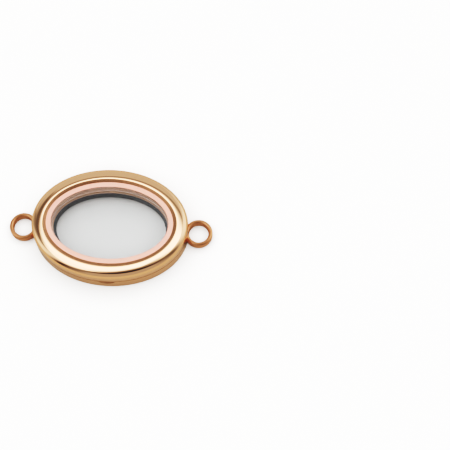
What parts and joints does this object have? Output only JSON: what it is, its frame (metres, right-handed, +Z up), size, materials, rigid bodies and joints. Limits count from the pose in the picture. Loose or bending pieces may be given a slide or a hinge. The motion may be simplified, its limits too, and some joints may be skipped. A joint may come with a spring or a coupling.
{
  "type": "locket pendant",
  "caption": "Oval hinged locket pendant with clear glass panes, a polished rim, loops at both ends for a chain, and a lid on a pin hinge held shut by magnets.",
  "frame": {"origin": "under the middle of the oval, on the surface that the locket lies on, at the outer face of its back rim", "axes": "+X along the long axis from loop to loop, +Y towards the hinge, +Z up out of the front pane"},
  "size_m": [0.0394, 0.022, 0.0064],
  "materials": {
    "rose_gold_plate": "polished rose-gold plating on steel, satin on the lips and brushed inside",
    "clear_glass": "clear, flat",
    "pin_steel": "plain drawn pin",
    "nickel_magnet": "nickel-plated magnet"
  },
  "bodies": {
    "base": {"base_frame": "rose_gold_plate", "base_glass": "clear_glass", "catch_pin": "rose_gold_plate", "hinge_pin": "pin_steel", "base_magnet_left": "nickel_magnet", "base_magnet_right": "nickel_magnet"},
    "lid": {"lid_frame": "rose_gold_plate", "lid_glass": "clear_glass", "lid_magnet_left": "nickel_magnet", "lid_magnet_right": "nickel_magnet"}
  },
  "joints": [
    {"name": "lid_hinge", "type": "hinge", "parent": "base", "child": "lid", "pos_m": [0, 0.0103, 0.0024], "axis": [-1, 0, 0], "range_deg": [0, 100]}
  ]
}
